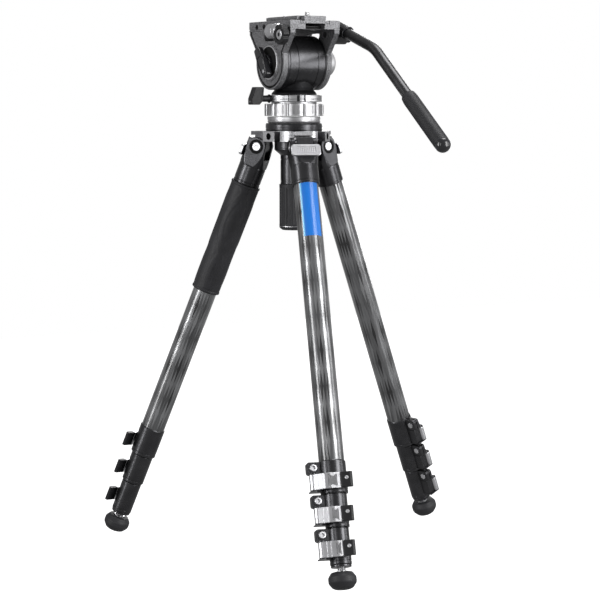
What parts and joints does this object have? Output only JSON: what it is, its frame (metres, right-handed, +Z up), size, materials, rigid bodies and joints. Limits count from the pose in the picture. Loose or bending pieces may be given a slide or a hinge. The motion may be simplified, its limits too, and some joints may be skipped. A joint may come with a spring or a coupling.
{
  "type": "video tripod with fluid head",
  "caption": "Carbon-fibre video tripod with a leveling base, a fluid head, a pan handle and telescoping legs with flip locks",
  "frame": {"origin": "on the floor, under the middle of the bounding box", "axes": "+Z up; X along the head's tilt axis, towards the pan handle; the operator stands on the -Y side"},
  "size_m": [0.4617, 0.4888, 0.7096],
  "materials": {
    "black_anodised": "satin black anodised",
    "silver_anodised": "satin silver anodised",
    "steel": "turned steel",
    "carbon": "carbon-fibre laminate, clear-coated",
    "black_plastic": "fine-grained black plastic",
    "rubber": "moulded charcoal rubber",
    "gloss_black": "gloss black",
    "liner": "white friction liner"
  },
  "bodies": {
    "crown": {"crown": "black_anodised", "hinge_bolts": "steel"},
    "front_leg": {"front_yoke": "black_anodised", "front_upper_tube": "carbon", "front_lock": "black_anodised"},
    "front_latch": {"front_stop_latch": "silver_anodised"},
    "front_section_2": {"front_section_2": "carbon"},
    "front_section_3": {"front_section_3": "carbon"},
    "front_section_4": {"front_section_4": "carbon"},
    "front_lever_1": {"front_lever_1": "silver_anodised"},
    "front_lever_2": {"front_lever_2": "silver_anodised"},
    "front_lever_3": {"front_lever_3": "silver_anodised"},
    "front_foot": {"front_foot": "rubber"},
    "right_leg": {"right_yoke": "black_anodised", "right_upper_tube": "carbon", "right_lock": "black_anodised"},
    "right_latch": {"right_stop_latch": "silver_anodised"},
    "right_section_2": {"right_section_2": "carbon"},
    "right_section_3": {"right_section_3": "carbon"},
    "right_section_4": {"right_section_4": "carbon"},
    "right_lever_1": {"right_lever_1": "silver_anodised"},
    "right_lever_2": {"right_lever_2": "silver_anodised"},
    "right_lever_3": {"right_lever_3": "silver_anodised"},
    "right_foot": {"right_foot": "rubber"},
    "left_leg": {"left_yoke": "black_anodised", "left_upper_tube": "carbon", "left_lock": "black_anodised", "left_hand_grip": "rubber"},
    "left_latch": {"left_stop_latch": "silver_anodised"},
    "left_section_2": {"left_section_2": "carbon"},
    "left_section_3": {"left_section_3": "carbon"},
    "left_section_4": {"left_section_4": "carbon"},
    "left_lever_1": {"left_lever_1": "silver_anodised"},
    "left_lever_2": {"left_lever_2": "silver_anodised"},
    "left_lever_3": {"left_lever_3": "silver_anodised"},
    "left_foot": {"left_foot": "rubber"},
    "bowl_liner": {"bowl_liner": "liner"},
    "leveling_base": {"leveling_ball": "silver_anodised", "clamp_washer": "black_anodised", "pan_base": "silver_anodised"},
    "leveling_handle": {"leveling_handle": "black_anodised", "leveling_grip": "rubber"},
    "pan_drag_ring": {"pan_drag_ring": "silver_anodised"},
    "pan_lock_knob": {"pan_lock_knob": "black_plastic"},
    "head": {"head_body": "black_anodised"},
    "cradle": {"left_side_plate": "black_anodised", "right_side_plate": "black_anodised", "platform": "black_anodised", "tilt_axle": "steel", "tilt_drag_drum": "steel", "catch_housing": "silver_anodised"},
    "tilt_lock_lever": {"tilt_lock_lever": "gloss_black"},
    "counterbalance_knob": {"counterbalance_knob": "silver_anodised"},
    "clamp_knob": {"clamp_knob": "black_plastic"},
    "camera_plate": {"camera_plate": "black_anodised"},
    "camera_screw": {"camera_screw": "steel"},
    "pan_handle": {"handle_socket": "black_anodised", "handle_rod": "black_anodised", "handle_grip": "rubber"},
    "handle_knob": {"handle_knob": "black_plastic"}
  },
  "joints": [
    {"name": "front_splay", "type": "hinge", "parent": "crown", "child": "front_leg", "pos_m": [-0.05298, -0.0122, 0.53464], "axis": [-0.9521, 0.3057, 0], "range_deg": [-22, 0]},
    {"name": "front_latch_slide", "type": "slide", "parent": "front_leg", "child": "front_latch", "axis": [-0.2834, -0.8828, 0.3746], "range_m": [0, 0.005], "stiffness_N_per_m": 400},
    {"name": "front_slide_1", "type": "slide", "parent": "front_leg", "child": "front_section_2", "axis": [-0.1145, -0.3567, -0.9272], "range_m": [0, 0.33]},
    {"name": "front_slide_2", "type": "slide", "parent": "front_section_2", "child": "front_section_3", "axis": [-0.1145, -0.3567, -0.9272], "range_m": [0, 0.33]},
    {"name": "front_slide_3", "type": "slide", "parent": "front_section_3", "child": "front_section_4", "axis": [-0.1145, -0.3567, -0.9272], "range_m": [0, 0.33]},
    {"name": "front_lever_1_flip", "type": "hinge", "parent": "front_leg", "child": "front_lever_1", "pos_m": [-0.13297, -0.16975, 0.1282], "axis": [-0.1145, -0.3567, -0.9272], "range_deg": [0, 110]},
    {"name": "front_lever_2_flip", "type": "hinge", "parent": "front_section_2", "child": "front_lever_2", "pos_m": [-0.13561, -0.18519, 0.08982], "axis": [-0.1145, -0.3567, -0.9272], "range_deg": [0, 110]},
    {"name": "front_lever_3_flip", "type": "hinge", "parent": "front_section_3", "child": "front_lever_3", "pos_m": [-0.13899, -0.20063, 0.05087], "axis": [-0.1145, -0.3567, -0.9272], "range_deg": [0, 110]},
    {"name": "front_foot_screw", "type": "hinge", "parent": "front_section_4", "child": "front_foot", "pos_m": [-0.11745, -0.21301, 0.01264], "axis": [-0.1145, -0.3567, -0.9272], "continuous": true},
    {"name": "right_splay", "type": "hinge", "parent": "crown", "child": "right_leg", "pos_m": [0.00733, 0.04248, 0.53464], "axis": [0.2113, -0.9774, 0], "range_deg": [-22, 0]},
    {"name": "right_latch_slide", "type": "slide", "parent": "right_leg", "child": "right_latch", "axis": [0.9062, 0.1959, 0.3746], "range_m": [0, 0.005], "stiffness_N_per_m": 400},
    {"name": "right_slide_1", "type": "slide", "parent": "right_leg", "child": "right_section_2", "axis": [0.3661, 0.0792, -0.9272], "range_m": [0, 0.33]},
    {"name": "right_slide_2", "type": "slide", "parent": "right_section_2", "child": "right_section_3", "axis": [0.3661, 0.0792, -0.9272], "range_m": [0, 0.33]},
    {"name": "right_slide_3", "type": "slide", "parent": "right_section_3", "child": "right_section_4", "axis": [0.3661, 0.0792, -0.9272], "range_m": [0, 0.33]},
    {"name": "right_lever_1_flip", "type": "hinge", "parent": "right_leg", "child": "right_lever_1", "pos_m": [0.18377, 0.05198, 0.1282], "axis": [0.3661, 0.0792, -0.9272], "range_deg": [0, 110]},
    {"name": "right_lever_2_flip", "type": "hinge", "parent": "right_section_2", "child": "right_lever_2", "pos_m": [0.19846, 0.05741, 0.08982], "axis": [0.3661, 0.0792, -0.9272], "range_deg": [0, 110]},
    {"name": "right_lever_3_flip", "type": "hinge", "parent": "right_section_3", "child": "right_lever_3", "pos_m": [0.21352, 0.0622, 0.05087], "axis": [0.3661, 0.0792, -0.9272], "range_deg": [0, 110]},
    {"name": "right_foot_screw", "type": "hinge", "parent": "right_section_4", "child": "right_foot", "pos_m": [0.21347, 0.08705, 0.01264], "axis": [0.3661, 0.0792, -0.9272], "continuous": true},
    {"name": "left_splay", "type": "hinge", "parent": "crown", "child": "left_leg", "pos_m": [-0.07018, 0.06737, 0.53464], "axis": [0.7408, 0.6717, 0], "range_deg": [-22, 0]},
    {"name": "left_latch_slide", "type": "slide", "parent": "left_leg", "child": "left_latch", "axis": [-0.6228, 0.6869, 0.3746], "range_m": [0, 0.005], "stiffness_N_per_m": 400},
    {"name": "left_slide_1", "type": "slide", "parent": "left_leg", "child": "left_section_2", "axis": [-0.2516, 0.2775, -0.9272], "range_m": [0, 0.33]},
    {"name": "left_slide_2", "type": "slide", "parent": "left_section_2", "child": "left_section_3", "axis": [-0.2516, 0.2775, -0.9272], "range_m": [0, 0.33]},
    {"name": "left_slide_3", "type": "slide", "parent": "left_section_3", "child": "left_section_4", "axis": [-0.2516, 0.2775, -0.9272], "range_m": [0, 0.33]},
    {"name": "left_lever_1_flip", "type": "hinge", "parent": "left_leg", "child": "left_lever_1", "pos_m": [-0.16662, 0.21542, 0.1282], "axis": [-0.2516, 0.2775, -0.9272], "range_deg": [0, 110]},
    {"name": "left_lever_2_flip", "type": "hinge", "parent": "left_section_2", "child": "left_lever_2", "pos_m": [-0.17867, 0.22543, 0.08982], "axis": [-0.2516, 0.2775, -0.9272], "range_deg": [0, 110]},
    {"name": "left_lever_3_flip", "type": "hinge", "parent": "left_section_3", "child": "left_lever_3", "pos_m": [-0.19035, 0.23608, 0.05087], "axis": [-0.2516, 0.2775, -0.9272], "range_deg": [0, 110]},
    {"name": "left_foot_screw", "type": "hinge", "parent": "left_section_4", "child": "left_foot", "pos_m": [-0.21185, 0.22361, 0.01264], "axis": [-0.2516, 0.2775, -0.9272], "continuous": true},
    {"name": "level_x", "type": "hinge", "parent": "crown", "child": "bowl_liner", "pos_m": [-0.03861, 0.03255, 0.58464], "axis": [1, 0, 0], "range_deg": [-6, 6]},
    {"name": "level_y", "type": "hinge", "parent": "bowl_liner", "child": "leveling_base", "pos_m": [-0.03861, 0.03255, 0.58464], "axis": [0, 1, 0], "range_deg": [-6, 6]},
    {"name": "leveling_clamp", "type": "hinge", "parent": "leveling_base", "child": "leveling_handle", "pos_m": [-0.03861, 0.03255, 0.48064], "axis": [0, 0, 1], "continuous": true},
    {"name": "pan_drag", "type": "hinge", "parent": "leveling_base", "child": "pan_drag_ring", "pos_m": [-0.03861, 0.03255, 0.58264], "axis": [0, 0, 1], "range_deg": [-135, 135]},
    {"name": "pan_lock", "type": "hinge", "parent": "leveling_base", "child": "pan_lock_knob", "pos_m": [-0.08861, 0.03255, 0.59764], "axis": [1, 0, 0], "range_deg": [0, 180]},
    {"name": "pan", "type": "hinge", "parent": "leveling_base", "child": "head", "pos_m": [-0.03861, 0.03255, 0.60274], "axis": [0, 0, 1], "continuous": true},
    {"name": "tilt", "type": "hinge", "parent": "head", "child": "cradle", "pos_m": [-0.03861, 0.03255, 0.64444], "axis": [1, 0, 0], "range_deg": [-60, 60]},
    {"name": "tilt_lock", "type": "hinge", "parent": "cradle", "child": "tilt_lock_lever", "pos_m": [-0.03861, 0.03255, 0.64444], "axis": [1, 0, 0], "range_deg": [-60, 60]},
    {"name": "counterbalance", "type": "hinge", "parent": "cradle", "child": "counterbalance_knob", "pos_m": [-0.03861, 0.03255, 0.64444], "axis": [1, 0, 0], "continuous": true},
    {"name": "plate_clamp", "type": "hinge", "parent": "cradle", "child": "clamp_knob", "pos_m": [-0.08361, -0.01145, 0.67914], "axis": [1, 0, 0], "continuous": true},
    {"name": "plate_slide", "type": "slide", "parent": "cradle", "child": "camera_plate", "axis": [0, 1, 0], "range_m": [-0.02, 0.03]},
    {"name": "camera_screw_turn", "type": "hinge", "parent": "camera_plate", "child": "camera_screw", "pos_m": [-0.03861, -0.00045, 0.70064], "axis": [0, 0, 1], "continuous": true},
    {"name": "handle_angle", "type": "hinge", "parent": "cradle", "child": "pan_handle", "pos_m": [0.01139, 0.00355, 0.68064], "axis": [1, 0, 0], "range_deg": [-30, 30]},
    {"name": "handle_clamp", "type": "hinge", "parent": "pan_handle", "child": "handle_knob", "pos_m": [0.01139, 0.00355, 0.68064], "axis": [1, 0, 0], "continuous": true}
  ]
}
